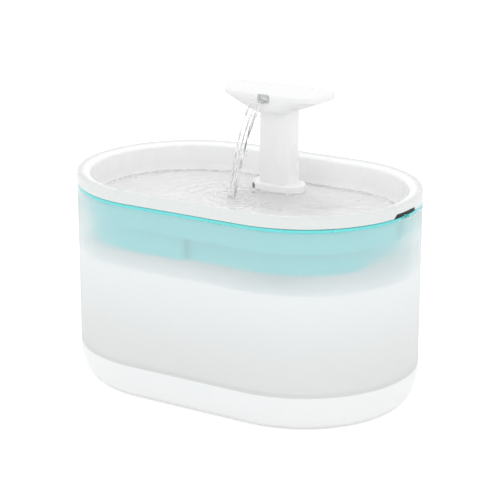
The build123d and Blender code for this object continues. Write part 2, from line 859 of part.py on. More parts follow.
def core_section():
    Rectangle(2 * (leg_inner + stator_leg), 2 * coil_thickness)


with BuildPart() as stator_core:
    bar(core_section, leg_start, leg_end)
    bar(lambda: Rectangle(2 * leg_inner, 2 * coil_thickness), leg_start, yoke_start, Mode.SUBTRACT)
save(stator_core, "stator_core")

with BuildPart() as motor_coil:
    coil_half = leg_inner - stator_gap
    coil_height = 2 * (coil_thickness + coil_reach)
    bar(lambda: RectangleRounded(2 * coil_half, coil_height, coil_corner),
        yoke_start - coil_reach, leg_end + coil_reach)
    bar(lambda: Rectangle(2 * coil_half, 2 * coil_thickness), yoke_start, leg_end, Mode.SUBTRACT)
save(motor_coil, "motor_coil")

shaft_front = spigot_front + wheel_gap / 2

with BuildPart() as rotor_shaft:
    bar(lambda: Circle(shaft_radius), shaft_front - bush_length, well_back)
    chamfer(rotor_shaft.edges().filter_by(GeomType.CIRCLE), shaft_radius / 4)
save(rotor_shaft, "rotor_shaft")


def bush_section():
    Circle(bush_radius)
    Circle(shaft_radius + shaft_clearance, mode=Mode.SUBTRACT)


with BuildPart() as rear_bush:
    bar(bush_section, rotor_back + wheel_gap, well_back)
save(rear_bush, "rear_bush")

with BuildPart() as front_bush:
    bar(bush_section, spigot_front - cover_plate, spigot_front)
save(front_bush, "front_bush")

with BuildPart() as rotor_magnet:
    bar(lambda: Circle(rotor_radius), rotor_front, rotor_back)
    bar(lambda: Circle(shaft_radius + shaft_clearance), rotor_front, rotor_back, Mode.SUBTRACT)
save(rotor_magnet, "rotor_magnet")

wheel_back = chamber_back - wheel_gap
wheel_front = wheel_back - wheel_length

with BuildPart() as impeller_wheel:
    bar(lambda: Circle(wheel_hub_radius), wheel_front - wheel_gap, rotor_front)
    with BuildSketch(axle_plane(wheel_front)):
        with PolarLocations(wheel_radius / 2, wheel_blades):
            Rectangle(wheel_radius, wheel_blade)
    extrude(amount=wheel_length)
    bar(lambda: Circle(shaft_radius + shaft_clearance), wheel_front - wheel_gap, rotor_front, Mode.SUBTRACT)
save(impeller_wheel, "impeller_wheel")

cover_front = pump_front - cover_length
foam_back = spigot_front - cover_plate - foam_clearance
foam_front = cover_front + cover_wall + foam_clearance


def inlet_ring():
    """Round inlet with a three-armed spider that carries the front bush."""
    Circle(inlet_radius + bush_radius)
    with PolarLocations(inlet_radius / 2 + bush_radius, 3):
        Rectangle(inlet_radius + bush_radius, cover_wall, mode=Mode.SUBTRACT)
    Circle(bush_radius + cover_wall / 2, mode=Mode.SUBTRACT)


def grille_slots():
    count = int((pump_width - 2 * grille_margin) / grille_pitch)
    with GridLocations(grille_pitch, 1, count, 1):
        SlotOverall(pump_body_height - 2 * grille_margin, grille_slot_width, rotation=90)


with BuildPart() as pump_front_cover:
    bar(pump_outline, cover_front, pump_front)
    fillet(pump_front_cover.faces().sort_by(Axis.X)[0].outer_wire().edges(), cover_wall / 2)
    bar(lambda: pump_outline(cover_wall), cover_front + cover_wall, pump_front, Mode.SUBTRACT)
    bar(lambda: pump_outline(cover_wall / 2), spigot_front - cover_plate, spigot_front)
    bar(inlet_ring, spigot_front - cover_plate, spigot_front, Mode.SUBTRACT)
    bar(lambda: Circle(bush_radius), spigot_front - cover_plate, spigot_front, Mode.SUBTRACT)
    bar(grille_slots, cover_front, cover_front + cover_wall, Mode.SUBTRACT)
save(pump_front_cover, "pump_front_cover")

with BuildPart() as foam_prefilter:
    bar(lambda: pump_outline(cover_wall + foam_clearance), foam_front, foam_back)
save(foam_prefilter, "foam_prefilter")
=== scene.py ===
"""Looks of the pet water fountain: its finishes, the faucet's head, the water, the light and the camera.

Metres, in the part's own frame: +X towards the lead outlet, -Y towards the drinking side, +Z up.
"""
import math
import random

import bmesh
import bpy
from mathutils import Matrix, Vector, noise


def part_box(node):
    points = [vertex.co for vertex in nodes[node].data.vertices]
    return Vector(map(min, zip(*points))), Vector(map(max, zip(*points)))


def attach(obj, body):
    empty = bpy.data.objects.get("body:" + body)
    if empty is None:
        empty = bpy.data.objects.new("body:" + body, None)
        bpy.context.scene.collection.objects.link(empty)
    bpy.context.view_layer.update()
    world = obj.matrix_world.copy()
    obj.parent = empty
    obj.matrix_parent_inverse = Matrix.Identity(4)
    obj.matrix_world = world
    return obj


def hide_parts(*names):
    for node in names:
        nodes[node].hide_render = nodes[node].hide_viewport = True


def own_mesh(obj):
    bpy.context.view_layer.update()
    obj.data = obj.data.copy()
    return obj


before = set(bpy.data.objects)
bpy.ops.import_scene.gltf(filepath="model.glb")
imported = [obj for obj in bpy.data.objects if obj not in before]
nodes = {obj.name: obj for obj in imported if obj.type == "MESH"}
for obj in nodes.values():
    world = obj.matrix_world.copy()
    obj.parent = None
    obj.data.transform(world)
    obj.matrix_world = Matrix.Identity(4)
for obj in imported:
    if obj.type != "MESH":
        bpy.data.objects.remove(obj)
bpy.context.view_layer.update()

MM = 0.001

# ------------------------------------------------------------------ sizes
half_straight = 42.7 * MM       # of the oval body, between its round ends
tank_floor = 15.0 * MM
tank_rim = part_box("tank")[1][2]
tank_water_level = 90.0 * MM
mist_height = 14.0 * MM         # over the water in the tank
flange_thickness = 1.0 * MM     # of the insert, on the tank's rim

lit_bowl_reach = 69.5 * MM    # painted light: the bowl's lighter white ends at this radius
shaded_rim_reach = 73.0 * MM     # and the rim's painted greyer shade begins at this one
water_level = 121.0 * MM        # in the drinking bowl
water_reach = 64.0 * MM         # radius of the water's edge in the bowl
water_pitch = 1.0 * MM          # between the points of its surface
ring_pitch = 4.2 * MM           # of the painted grey shade rings round the stream's landing
ring_reach = 62.0 * MM

faucet_y = 41.0 * MM
collar_half_length = 19.0 * MM
collar_half_width = 10.0 * MM
port_turn = math.radians(-128)  # from +X
port_radius = 1.9 * MM
port_depth = 2.0 * MM
port_taper = 0.2 * MM
port_lip = 0.15 * MM
port_rise = 2.4 * MM            # over the bowl's water

head_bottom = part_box("faucet_head")[0][2]
head_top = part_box("faucet_cap")[1][2]
# the head's length over all, and how far it reaches in front of the column's middle and behind it
head_length, head_front, head_rear = 77.2 * MM, 20.8 * MM, 14.5 * MM
keel_length, keel_front, keel_rear = 29.0 * MM, 17.5 * MM, 11.5 * MM    # the same at its foot
flare_length, flare_front, flare_rear = 0.95, 0.4, 1.1                  # below 1 it swells early
square_front, square_rear = 0.76, 0.95                                  # 0.55 is a plain ellipse
rim_band = 1.7 * MM
cap_thickness = 2.6 * MM
cap_roll = 2.3 * MM
seam = 0.12 * MM
cap_under = head_top - cap_thickness
band_under = cap_under - rim_band

mouth_width, mouth_height, mouth_corner = 9.4 * MM, 5.8 * MM, 1.9 * MM
mouth_drop = 0.7 * MM           # its upper edge under the head's top
mouth_depth = 12.0 * MM
mouth_wall = 1.0 * MM
mouth_recess = 1.1 * MM
mouth_ahead = faucet_y - head_front - mouth_depth      # the cut starts well in front of the head
mouth_face = faucet_y - head_front + mouth_recess
mouth_back = faucet_y - head_front + mouth_depth
mouth = Vector((0, 20 * MM, 184.4 * MM))               # where the water leaves the spout
landing = Vector((-16 * MM, 6.5 * MM, water_level))    # where it meets the water in the bowl
heading = Vector((landing.x - mouth.x, landing.y - mouth.y, 0)).normalized()
stream_half_width = 1.3 * MM    # where it lands

crease = math.radians(28)       # faces that meet at more than this make a crisp edge


# ------------------------------------------------------------------ shader arithmetic
class Amount:
    """A number in a shader. Arithmetic on it adds the Math nodes."""

    def __init__(self, shader, socket):
        self.shader = shader
        self.socket = socket

    def _math(self, operation, *numbers):
        return self.shader.add("ShaderNodeMath", {"operation": operation}, dict(enumerate(numbers)))

    def __add__(self, other):
        return self._math("ADD", self, other)

    def __sub__(self, other):
        return self._math("SUBTRACT", self, other)

    def __rsub__(self, other):
        return self._math("SUBTRACT", other, self)

    def __mul__(self, other):
        return self._math("MULTIPLY", self, other)

    def __pow__(self, other):
        return self._math("POWER", self, other)

    def at_least(self, other):
        return self._math("MAXIMUM", self, other)

    def wave(self):
        return self._math("SINE", self)

    __radd__ = __add__
    __rmul__ = __mul__


class Shader:
    """A node tree, filled by one method."""

    def __init__(self, tree):
        self.tree = tree

    def plug(self, socket, value):
        if isinstance(value, Amount):
            self.tree.links.new(value.socket, socket)
        elif isinstance(value, tuple) and len(value) == 3 and socket.type == "RGBA":
            socket.default_value = (*value, 1)
        else:
            socket.default_value = value

    def add(self, kind, settings, sockets, output=0):
        node = self.tree.nodes.new(kind)
        for name, value in settings.items():
            setattr(node, name, value)
        for name, value in sockets.items():
            self.plug(node.inputs[name], value)
        return Amount(self, node.outputs[output])

    def ray(self, kind):
        """1 for a ray of this kind, else 0."""
        return self.add("ShaderNodeLightPath", {}, {}, kind)


class Finish(Shader):
    """One material, built from a Principled surface."""

    def __init__(self, name, **surface):
        self.material = bpy.data.materials.new(name)
        self.material.use_nodes = True
        super().__init__(self.material.node_tree)
        self.surface = self.tree.nodes["Principled BSDF"]
        self.set(surface)

    def set(self, sockets):
        for name, value in sockets.items():
            self.plug(self.surface.inputs[name.replace("_", " ")], value)

    # places
    def place(self):
        return self.add("ShaderNodeTexCoord", {}, {}, "Object")

    def along(self, axis):
        return self.add("ShaderNodeSeparateXYZ", {}, {0: self.place()}, "XYZ".index(axis))

    def reach(self):
        """Distance from the oval's spine, which is the body's radius at its wall."""
        x = self.along("X")
        y = self.along("Y")
        past = (x.at_least(0.0 - x) - half_straight).at_least(0.0)
        return (past * past + y * y) ** 0.5

    def away(self, point):
        """Distance from a point."""
        return self.add("ShaderNodeVectorMath", {"operation": "DISTANCE"},
                        {0: self.place(), 1: point}, "Value")

    def painted(self, name):
        """A value carried by the mesh's points."""
        return self.add("ShaderNodeAttribute", {"attribute_name": name}, {}, "Fac")

    # patterns
    def grain(self, scale, detail=2.0):
        """Soft noise, about 1/scale metres from bump to bump."""
        return self.add("ShaderNodeTexNoise", {},
                        {"Vector": self.place(), "Scale": scale, "Detail": detail})

    def streaks(self, along_x, along_y, along_z, detail):
        """Noise drawn out by a different scale each way."""
        drawn = self.add("ShaderNodeVectorMath", {"operation": "MULTIPLY"},
                         {0: self.place(), 1: (along_x, along_y, along_z)})
        return self.add("ShaderNodeTexNoise", {}, {"Vector": drawn, "Scale": 1.0, "Detail": detail})

    def cells(self, scale):
        """Distance from the middles of scattered cells, about 1/scale metres apart."""
        return self.add("ShaderNodeTexVoronoi", {}, {"Vector": self.place(), "Scale": scale})

    def lines(self, scale):
        """Wavering lines across X."""
        return self.add("ShaderNodeTexWave", {"bands_direction": "X"},
                        {"Vector": self.place(), "Scale": scale, "Distortion": 3.0, "Detail": 2.0}, "Fac")

    # what a pattern does
    def rise(self, amount, start, end, low=0.0, high=1.0):
        """Smooth step from low to high as the amount passes from start to end."""
        return self.add("ShaderNodeMapRange", {"interpolation_type": "SMOOTHSTEP"},
                        {"Value": amount, "From Min": start, "From Max": end,
                         "To Min": low, "To Max": high})

    def tint(self, share, first, second):
        """From the first colour to the second. 6, 7 and the last 2 are the Mix node's colour sockets."""
        return self.add("ShaderNodeMix", {"data_type": "RGBA"}, {0: share, 6: first, 7: second}, 2)

    def relief(self, height, depth):
        return self.add("ShaderNodeBump", {}, {"Height": height, "Distance": depth, "Strength": 1.0})

    def bump(self, height, depth):
        self.set({"Normal": self.relief(height, depth)})

    def blend_to(self, share, **surface):
        """Pass over to a second surface as the share goes from 0 to 1."""
        sockets = {name.replace("_", " "): value for name, value in surface.items()}
        second = self.add("ShaderNodeBsdfPrincipled", {}, sockets)
        both = self.add("ShaderNodeMixShader", {},
                        {0: share, 1: Amount(self, self.surface.outputs[0]), 2: second})
        self.plug(self.tree.nodes["Material Output"].inputs["Surface"], both)


# ------------------------------------------------------------------ finishes of the clear pieces
def frosted_wall():
    """Frosted wall: seen through above the water, misted just over it, milky where water stands, with
    painted shade that darkens the wet wall towards the bottom.
    """
    wall_gloss = {"IOR": 1.2, "Specular_IOR_Level": 0.35}
    finish = Finish("frosted_wall", Transmission_Weight=0.80, Roughness=0.38, **wall_gloss)
    etched = finish.relief(finish.grain(1900.0, 3.0), 0.02 * MM)
    height = finish.along("Z")
    wet = finish.rise(height, tank_water_level + 1.5 * MM, tank_water_level - 2.5 * MM)
    misted = finish.rise(height, tank_water_level + mist_height, tank_water_level - 2.0 * MM)
    # painted shade: the wet wall's colour darkens from the water's surface down towards the floor
    depth = finish.rise(height, tank_water_level + 10.0 * MM, tank_floor + 10.0 * MM)
    wet_color_and_painted_shade = finish.tint(depth, (0.865, 0.89, 0.90), (0.785, 0.79, 0.782))
    # lamps and scattered light pass the wall, so that they reach what stands behind it
    solid = 1.0 - finish.ray("Is Shadow Ray").at_least(finish.ray("Is Diffuse Ray"))
    finish.set({"Base_Color": (0.955, 0.985, 0.985), "Normal": etched, "Alpha": solid})
    finish.blend_to(wet * 0.5 + misted * 0.5, Base_Color=wet_color_and_painted_shade, Normal=etched, Alpha=solid,
                    Transmission_Weight=0.2, Roughness=0.45, **wall_gloss)
    return finish


def tinted_insert():
    """Teal insert: clear-tinted plastic, with painted light on the thin flange that lies on the tank's edge,
    outside the frosted wall.
    """
    finish = Finish("tinted_insert", Transmission_Weight=0.15, IOR=1.45, Specular_IOR_Level=0.4)
    drift = finish.grain(14.0, 1.0)
    body = finish.tint(drift, (0.075, 0.60, 0.64), (0.09, 0.63, 0.67))
    # painted light: the flange, outside the frosted wall, is given a lighter teal than the body
    lit_flange = finish.rise(finish.along("Z"), tank_rim - flange_thickness, tank_rim)
    finish.set({"Base_Color": finish.tint(lit_flange, body, (0.21, 0.87, 0.86)),
                "Roughness": finish.rise(drift, 0.3, 0.7, 0.26, 0.32)})
    finish.bump(finish.grain(1800.0), 0.015 * MM)
    return finish


def bowl_water():
    """Clear water with painted shade: greyer in the troughs of its rings, in drawn-out ripples and along its
    shore.
    """
    finish = Finish("bowl_water", Transmission_Weight=0.72, IOR=1.33, Roughness=0.02)
    away = finish.away(tuple(landing))
    warp = finish.grain(60.0)
    rings = finish.rise((away * (2 * math.pi / ring_pitch) + warp * 7.0).wave(), 0.25, 1.0)
    rings = rings * finish.rise(away, ring_reach, 8.0 * MM)
    ripples = finish.rise(finish.streaks(70.0, 260.0, 1.0, 3.0), 0.54, 0.72)
    swell = finish.rise(finish.streaks(26.0, 60.0, 1.0, 1.0), 0.5, 0.75)
    # painted shade: the rings, ripples and swell darken the water's colour
    shade = rings * 0.7 + ripples * 0.7 + swell * 0.2
    trough_painted_shade = finish.tint(finish.rise(shade, 0.1, 1.0), (1.0, 1.0, 1.0), (0.87, 0.875, 0.88))
    finish.set({"Base_Color": finish.tint(finish.painted("shore_painted_shade"), trough_painted_shade, (0.85, 0.855, 0.86))})
    finish.bump(finish.grain(170.0), 0.15 * MM)
    return finish


def stream_water():
    """Clear falling water with painted dark reflections, in streaks drawn out along its fall."""
    finish = Finish("falling_water", Transmission_Weight=0.85, IOR=1.25, Roughness=0.03)
    # painted reflection: dark streaks tint the water's colour
    painted_dark_reflections = finish.rise(finish.streaks(300.0, 300.0, 60.0, 1.0), 0.46, 0.60)
    finish.set({"Base_Color": finish.tint(painted_dark_reflections * finish.painted("shade"), (1.0, 1.0, 1.0),
                                          (0.22, 0.23, 0.24))})
    finish.bump(finish.grain(300.0), 0.3 * MM)
    return finish


# ------------------------------------------------------------------ finishes of the solid pieces
polish = {"Specular_IOR_Level": 0.4, "Coat_Weight": 0.1, "Coat_Roughness": 0.15}


def moulded(name, light, dark, roughness, texture_depth, **surface):
    """Moulded plastic: a slow drift of colour, faint handling marks in the gloss, fine tool texture."""
    finish = Finish(name, **surface)
    handled = finish.grain(55.0, 1.0)
    finish.set({"Base_Color": finish.tint(finish.grain(28.0, 1.0), dark, light),
                "Roughness": finish.rise(handled, 0.2, 0.8, roughness - 0.02, roughness + 0.02)})
    finish.bump(finish.grain(2600.0), texture_depth)
    return finish


def tray_white():
    """The tray's white, with painted light and shade: lighter in the bowl, a shade greyer on its rim."""
    finish = moulded("tray_white", (0.94, 0.942, 0.945), (0.93, 0.932, 0.935), 0.27, 0.006 * MM, **polish)
    # painted light in the bowl and painted shade on the rim
    lit_bowl = finish.rise(finish.reach(), shaded_rim_reach, lit_bowl_reach)
    finish.set({"Base_Color": finish.tint(lit_bowl, (0.765, 0.79, 0.785), (0.98, 0.981, 0.982))})
    return finish


def rubber(name, light, dark):
    """Rubber: as moulded plastic, but matt and with a coarser skin."""
    return moulded(name, light, dark, 0.62, 0.04 * MM, Specular_IOR_Level=0.3)


def brushed(name, light, dark, metallic, roughness):
    """Turned or drawn metal: fine lines across X."""
    finish = Finish(name, Metallic=metallic)
    lines = finish.lines(900.0)
    finish.set({"Base_Color": finish.tint(lines, dark, light),
                "Roughness": finish.rise(lines, 0.0, 1.0, roughness - 0.06, roughness + 0.06)})
    finish.bump(lines, 0.01 * MM)
    return finish


def porous(name, light, dark, scale, depth):
    """Felt, granules or sponge: pits between rounded cells."""
    finish = Finish(name, Roughness=0.95, Specular_IOR_Level=0.15)
    pits = finish.cells(scale)
    finish.set({"Base_Color": finish.tint(finish.rise(pits, 0.1, 0.7), light, dark)})
    finish.bump(1.0 - pits, depth)
    return finish


# name, light and dark tone, roughness, depth of the tool's texture
white_gloss = moulded("white_gloss", (0.92, 0.922, 0.924), (0.912, 0.914, 0.916), 0.27, 0.006 * MM,
                      **polish)
# painted light: the faucet's white, made lighter for the column
column_lit_white = moulded("column_lit_white", (0.965, 0.966, 0.967), (0.958, 0.959, 0.96), 0.27, 0.006 * MM,
                       **polish)
base_white = moulded("base_white", (0.90, 0.902, 0.904), (0.89, 0.892, 0.894), 0.3, 0.006 * MM,
                     Specular_IOR_Level=0.35)
# painted shade: the duct's grey stands for the shade in the mouth's recess
spout_shaded_grey = moulded("spout_shaded_grey", (0.74, 0.75, 0.76), (0.70, 0.71, 0.72), 0.4, 0.02 * MM)
strainer_grey = moulded("strainer_grey", (0.40, 0.41, 0.42), (0.36, 0.37, 0.38), 0.45, 0.02 * MM)
# painted shade: a dark colour for the shade inside the collar's opening
port_painted_shade = moulded("port_painted_shade", (0.20, 0.205, 0.21), (0.17, 0.175, 0.18), 0.5, 0.02 * MM)
pump_shell = moulded("pump_shell", (0.74, 0.76, 0.77), (0.70, 0.72, 0.73), 0.45, 0.03 * MM)
wheel_plastic = moulded("wheel_plastic", (0.86, 0.87, 0.88), (0.82, 0.83, 0.84), 0.4, 0.02 * MM)
filter_shell = moulded("filter_shell", (0.90, 0.91, 0.92), (0.86, 0.87, 0.88), 0.45, 0.03 * MM)
milky_hose = moulded("milky_hose", (0.88, 0.90, 0.90), (0.82, 0.85, 0.86), 0.35, 0.02 * MM,
                     Transmission_Weight=0.3)
# painted shade: the water in the mouth is given a grey for the shade of the recess
shaded_standing_water = moulded("mouth_water", (0.92, 0.93, 0.94), (0.70, 0.71, 0.72), 0.08, 0.2 * MM)
ground_ceramic = moulded("ground_ceramic", (0.92, 0.92, 0.90), (0.88, 0.88, 0.86), 0.2, 0.004 * MM)
ferrite = moulded("ferrite", (0.09, 0.09, 0.095), (0.06, 0.06, 0.062), 0.5, 0.03 * MM, Metallic=0.3)
grey_rubber = rubber("grey_rubber", (0.56, 0.57, 0.58), (0.50, 0.51, 0.52))
black_rubber = rubber("black_rubber", (0.03, 0.03, 0.031), (0.02, 0.02, 0.021))
# name, light and dark tone, how metallic, roughness
bright_steel = brushed("bright_steel", (0.66, 0.66, 0.66), (0.56, 0.56, 0.57), 1.0, 0.3)
wound_copper = brushed("wound_copper", (0.74, 0.36, 0.16), (0.50, 0.20, 0.08), 0.9, 0.35)
# name, light and dark tone, cells to a metre, depth of the pits
cotton_felt = porous("cotton_felt", (0.90, 0.90, 0.88), (0.74, 0.74, 0.72), 900.0, 0.4 * MM)
carbon_grain = porous("carbon_grain", (0.07, 0.07, 0.07), (0.015, 0.015, 0.015), 420.0, 0.6 * MM)
sponge = porous("sponge", (0.13, 0.13, 0.14), (0.02, 0.02, 0.022), 1100.0, 0.5 * MM)

node_finish = {
    "tank": frosted_wall(), "base_shell": base_white, "base_feet": grey_rubber, "base_screws": bright_steel,
    "filter_holder": tinted_insert(), "filter_frame": filter_shell, "filter_lid": filter_shell,
    "filter_cotton": cotton_felt, "filter_carbon": carbon_grain,
    "tray": tray_white(), "cable_grommet": black_rubber, "drain_strainer": strainer_grey,
    "riser_seal": black_rubber, "riser_tube": milky_hose,
    "faucet_column": column_lit_white, "faucet_head": white_gloss, "faucet_cap": white_gloss,
    "spout_nozzle": spout_shaded_grey,
    "pump_housing": pump_shell, "pump_back_cover": pump_shell, "pump_front_cover": pump_shell,
    "pump_feet": grey_rubber, "cable_gland": black_rubber, "foam_prefilter": sponge,
    "stator_core": bright_steel, "motor_coil": wound_copper, "rotor_magnet": ferrite,
    "impeller_wheel": wheel_plastic, "rotor_shaft": ground_ceramic,
    "rear_bush": black_rubber, "front_bush": black_rubber,
}
for node_name, finish in node_finish.items():
    nodes[node_name].data.materials.clear()
    nodes[node_name].data.materials.append(finish.material)


# ------------------------------------------------------------------ pieces
def skin(rings):
    """Points and faces of a closed skin over rings of equally many points."""
    around = len(rings[0])
    points = [p for ring in rings for p in ring]
    faces = [list(range(around))[::-1], [(len(rings) - 1) * around + a for a in range(around)]]
    for r in range(len(rings) - 1):
        for a in range(around):
            b = (a + 1) % around
            faces.append([r * around + a, r * around + b, (r + 1) * around + b, (r + 1) * around + a])
    return points, faces


def new_mesh(name, points, faces):
    mesh = bpy.data.meshes.new(name)
    mesh.from_pydata([tuple(p) for p in points], [], faces)
    return mesh


def new_object(name, data):
    made = bpy.data.objects.new(name, data)
    bpy.context.scene.collection.objects.link(made)
    return made


def face_outwards(mesh):
    shell = bmesh.new()
    shell.from_mesh(mesh)
    bmesh.ops.recalc_face_normals(shell, faces=shell.faces)
    shell.to_mesh(mesh)
    shell.free()


def piece(name, points, faces, finish, body, paint=None):
    """A new piece. The paint is a name and a value for each point, for its finish to read."""
    mesh = new_mesh(name, points, faces)
    mesh.polygons.foreach_set("use_smooth", [True] * len(mesh.polygons))
    if paint:
        mesh.attributes.new(paint[0], "FLOAT", "POINT").data.foreach_set("value", paint[1])
    mesh.materials.append(finish.material)
    made = new_object(name, mesh)
    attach(made, body)
    return made


def moulding(name, rings, finish, body):
    """A smooth solid."""
    made = piece(name, *skin(rings), finish, body)
    face_outwards(made.data)
    return made


def hollow(made, rings):
    """Cut a pocket of this shape into a piece."""
    pocket = new_object("pocket", new_mesh("pocket", *skin(rings)))
    face_outwards(pocket.data)
    cut = made.modifiers.new("pocket", "BOOLEAN")
    cut.object = pocket
    cut.solver = "EXACT"
    ready = made.evaluated_get(bpy.context.evaluated_depsgraph_get())
    made.data = bpy.data.meshes.new_from_object(ready)
    made.modifiers.clear()
    bpy.data.objects.remove(pocket)


# ------------------------------------------------------------------ faucet head, overflow port
def head_plan(share, height, inset=0.0):
    """Rounded oval at a share of the head's flare, deeper in front of the column and squarer behind it.

    Each quarter is a cubic curve whose handles reach a share of the way to the quarter's corner.
    """
    half = (keel_length + (head_length - keel_length) * share ** flare_length) / 2 - inset
    front = keel_front + (head_front - keel_front) * share ** flare_front - inset
    rear = keel_rear + (head_rear - keel_rear) * share ** flare_rear - inset
    steps = 20
    ring = []
    for end, reach, square, forwards in ((1, rear, square_rear, True), (-1, rear, square_rear, False),
                                         (-1, -front, square_front, True), (1, -front, square_front, False)):
        for step in range(steps):
            t = step / steps if forwards else 1 - step / steps
            s = 1 - t
            ring.append(Vector((end * half * (s ** 3 + 3 * s * s * t + 3 * s * t * t * square),
                                faucet_y + reach * (3 * s * s * t * square + 3 * s * t * t + t ** 3),
                                height)))
    return ring


def mouth_ring(along, inset):
    """Rounded rectangle of the mouth at a place along Y, drawn in by an inset."""
    half_width, half_height = mouth_width / 2 - inset, mouth_height / 2 - inset
    corner = mouth_corner - inset
    middle = head_top - mouth_drop - mouth_height / 2
    corner_steps = 5
    ring = []
    for sx, sz, start in ((1, 1, 0), (-1, 1, 90), (-1, -1, 180), (1, -1, 270)):
        for step in range(corner_steps + 1):
            angle = math.radians(start + 90 / corner_steps * step)
            ring.append(Vector((sx * (half_width - corner) + corner * math.cos(angle), along,
                                middle + sz * (half_height - corner) + corner * math.sin(angle))))
    return ring


def head_hull():
    """The boat-shaped underside, open at the mouth."""
    levels = 16
    rings = [head_plan(k / levels, head_bottom + (band_under - head_bottom) * k / levels)
             for k in range(levels + 1)]
    rings += [head_plan(1.0, cap_under - seam), head_plan(1.0, cap_under, seam)]
    hull = moulding("head_hull", rings, white_gloss, "faucet")
    hollow(hull, [mouth_ring(mouth_ahead, 0), mouth_ring(mouth_back, 0)])
    hull.data.set_sharp_from_angle(angle=crease)
    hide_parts("faucet_head")


def head_cap():
    """The flat top with its rolled edge."""
    roll_steps = 6
    rings = [head_plan(1.0, cap_under, seam), head_plan(1.0, cap_under + seam)]
    for k in range(roll_steps + 1):
        angle = math.radians(90 / roll_steps * k)
        rings.append(head_plan(1.0, head_top - cap_roll + cap_roll * math.sin(angle),
                               cap_roll * (1 - math.cos(angle))))
    cap = moulding("head_cap", rings, white_gloss, "faucet")
    hollow(cap, [mouth_ring(mouth_ahead, 0), mouth_ring(mouth_back, 0)])
    cap.data.set_sharp_from_angle(angle=crease)
    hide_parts("faucet_cap")


def mouth_lining():
    """The duct set into the mouth, grey with painted shade of its recess."""
    lining = moulding("mouth_lining", [mouth_ring(mouth_face, seam), mouth_ring(mouth_back, seam)],
                      spout_shaded_grey, "faucet")
    hollow(lining, [mouth_ring(mouth_ahead, mouth_wall), mouth_ring(mouth_back - mouth_wall, mouth_wall)])
    lining.data.set_sharp_from_angle(angle=crease)
    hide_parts("spout_nozzle")


def overflow_port():
    """The dark port at the front of the collar's end, where the bowl's overflow shows: its dark colour is
    painted shade of the opening.
    """
    steps = 24
    oval = 1.1                  # wider than it is tall
    outwards = Vector((math.cos(port_turn), math.sin(port_turn), 0))
    across = Vector((-outwards.y, outwards.x, 0))
    middle = Vector((collar_half_width - collar_half_length, faucet_y, water_level + port_rise))
    rings = []
    for out, radius in ((collar_half_width - port_depth, port_radius - port_taper),
                        (collar_half_width, port_radius),
                        (collar_half_width + port_lip, port_radius - port_lip)):
        ring = []
        for k in range(steps):
            angle = 2 * math.pi * k / steps
            ring.append(middle + outwards * out + across * radius * oval * math.cos(angle)
                        + Vector((0, 0, radius * math.sin(angle))))
        rings.append(ring)
    port = moulding("overflow_port", rings, port_painted_shade, "tray")
    port.data.set_sharp_from_angle(angle=crease)


# ------------------------------------------------------------------ water
def mouth_water():
    """The water that stands in the mouth, grey with painted shade."""
    behind_face = 0.5 * MM
    moulding("mouth_water", [mouth_ring(mouth_face + behind_face, mouth_wall + seam),
                             mouth_ring(mouth_back - mouth_wall - seam, mouth_wall + seam)],
             shaded_standing_water, "faucet")


def from_oval(x, y, half_length, radius):
    """Distance outside an oval, negative inside, and the nearest point of its spine."""
    spine = max(-half_length, min(half_length, x))
    return math.hypot(x - spine, y) - radius, spine


def to_oval(x, y, half_length, radius):
    """Nearest point on the oval's edge."""
    distance, spine = from_oval(x, y, half_length, radius)
    reach = distance + radius
    return spine + (x - spine) * radius / reach, y * radius / reach


def ripple(x, y):
    """Height of the drinking water over its level: rings round the landing, a swell and a chop."""
    ring_height, swell_height, chop_height = 0.55 * MM, 0.45 * MM, 0.22 * MM
    ring_fade, ring_spacing = 30 * MM, 1.35 * MM
    away = math.hypot(x - landing.x, y - landing.y)
    rings = ring_height * math.exp(-away / ring_fade) * math.cos(away / ring_spacing)
    swell = swell_height * noise.noise(Vector((x * 75, y * 105, 0.3)))
    chop = chop_height * noise.noise(Vector((x * 190 + 5, y * 260, 2.1)))
    return rings + swell + chop


def drinking_water():
    """The bowl's water: a sheet of square cells whose edge lies on the bowl's wall and the collar's."""
    rim = (half_straight, water_reach)
    collar = (collar_half_length - collar_half_width, collar_half_width)
    climb_height, climb_width = 0.5 * MM, 0.9 * MM      # where the water clings to a wall
    # painted shade along the water's edge at the bowl's wall and the collar's
    shore_shade, shore_width = 0.75, 1.1 * MM
    columns = int((half_straight + water_reach) / water_pitch) + 2
    rows = int(water_reach / water_pitch) + 2
    points, shore_painted_shade, number = [], [], {}
    for i in range(-columns, columns + 1):
        for j in range(-rows, rows + 1):
            x, y = i * water_pitch, j * water_pitch
            outside = from_oval(x, y, *rim)[0]
            inside = -from_oval(x, y - faucet_y, *collar)[0]
            if outside > water_pitch or inside > water_pitch:
                continue
            if outside > 0:
                x, y = to_oval(x, y, *rim)
            if inside > 0:
                x, y = to_oval(x, y - faucet_y, *collar)
                y += faucet_y
            edge = max(min(-from_oval(x, y, *rim)[0], from_oval(x, y - faucet_y, *collar)[0]), 0)
            climb = climb_height * math.exp(-edge / climb_width)
            number[i, j] = len(points)
            points.append((x, y, water_level + ripple(x, y) + climb))
            shore_painted_shade.append(shore_shade * math.exp(-edge / shore_width))
    faces = []
    for (i, j) in number:
        corners = [(i, j), (i + 1, j), (i + 1, j + 1), (i, j + 1)]
        if all(c in number for c in corners):
            faces.append([number[c] for c in corners])
    made = piece("tray_water", points, faces, bowl_water(), "tray", ("shore_painted_shade", shore_painted_shade))
    made.visible_shadow = False


def thrown(share, sideways):
    """A point of the stream: thrown level out of the mouth, so it falls as the square of its reach."""
    place = mouth.lerp(landing, share)
    place.z = mouth.z - (mouth.z - landing.z) * max(share, 0.0) ** 2
    return place + heading * sideways


def near_edge(share):
    """The stream's edge towards the column, bowed a little, as a distance from its middle."""
    bow = 1.4 * MM * math.sin(math.pi * max(share, 0.0)) ** 0.5
    return -(stream_half_width + bow)


